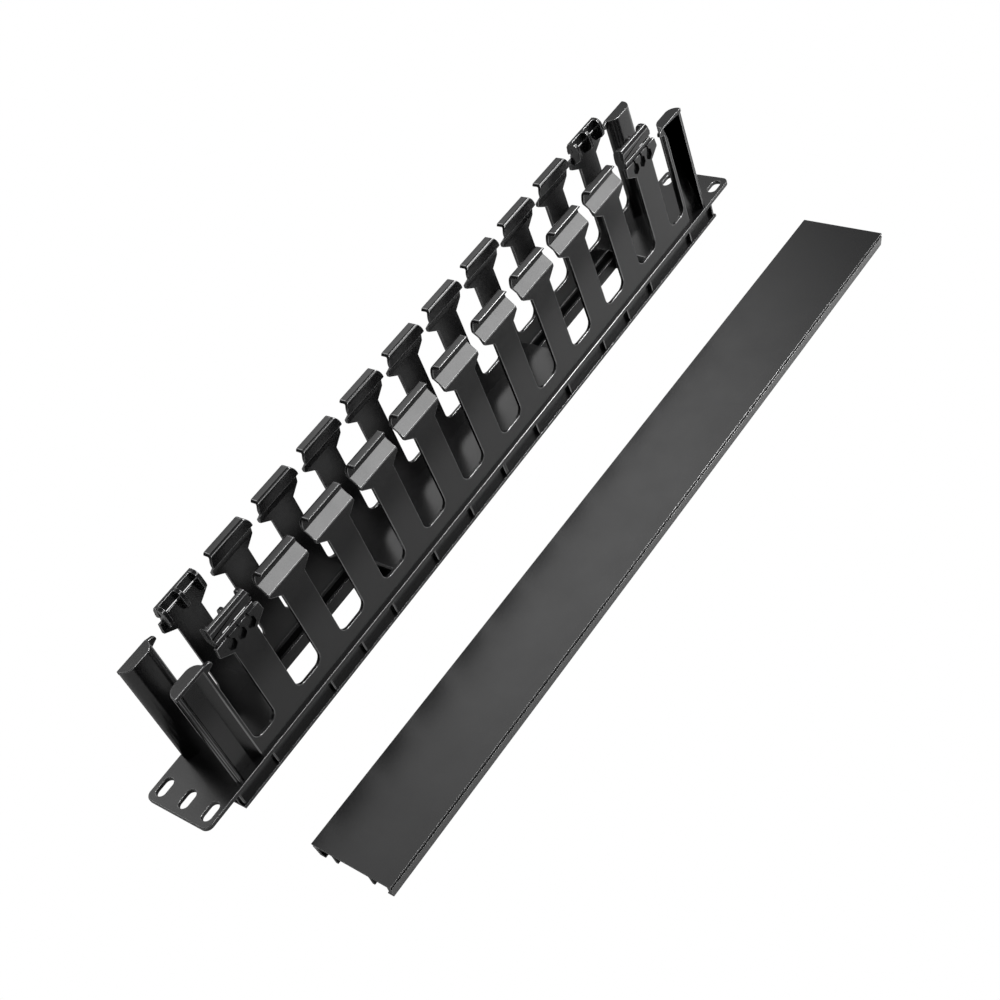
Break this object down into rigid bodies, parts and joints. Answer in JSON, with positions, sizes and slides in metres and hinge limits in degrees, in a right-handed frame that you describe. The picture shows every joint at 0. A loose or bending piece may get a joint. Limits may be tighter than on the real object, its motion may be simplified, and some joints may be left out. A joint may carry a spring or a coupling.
{
  "type": "horizontal cable manager",
  "caption": "Rack-mount horizontal cable manager in black plastic: an eared panel with two rows of hooked fingers between hollow end posts, and its clip-on cover lying beside it.",
  "frame": {"origin": "centre of the rack slot pattern on the rear face of the ears, where they meet the rack's posts", "axes": "+X along the rack's width, +Y up the rack, +Z out of the rack's front along the fingers"},
  "size_m": [0.4826, 0.1517, 0.089],
  "materials": {
    "base_plastic": "smooth moulded, slightly satin",
    "cover_plastic": "smooth moulded, slightly satin"
  },
  "bodies": {
    "root": {"mounting_panel": "base_plastic", "near_rail": "base_plastic", "far_rail": "base_plastic", "cross_rib_1": "base_plastic", "cross_rib_2": "base_plastic", "cross_rib_3": "base_plastic", "cross_rib_4": "base_plastic", "cross_rib_5": "base_plastic", "cross_rib_6": "base_plastic", "near_finger_1": "base_plastic", "near_finger_2": "base_plastic", "near_finger_3": "base_plastic", "near_finger_4": "base_plastic", "near_finger_5": "base_plastic", "near_finger_6": "base_plastic", "near_finger_7": "base_plastic", "near_finger_8": "base_plastic", "near_finger_9": "base_plastic", "near_latch_finger_left": "base_plastic", "near_latch_finger_right": "base_plastic", "near_end_post_left": "base_plastic", "near_end_post_right": "base_plastic", "far_finger_1": "base_plastic", "far_finger_2": "base_plastic", "far_finger_3": "base_plastic", "far_finger_4": "base_plastic", "far_finger_5": "base_plastic", "far_finger_6": "base_plastic", "far_finger_7": "base_plastic", "far_finger_8": "base_plastic", "far_finger_9": "base_plastic", "far_latch_finger_left": "base_plastic", "far_latch_finger_right": "base_plastic", "far_end_post_left": "base_plastic", "far_end_post_right": "base_plastic", "cover": "cover_plastic"}
  },
  "joints": []
}
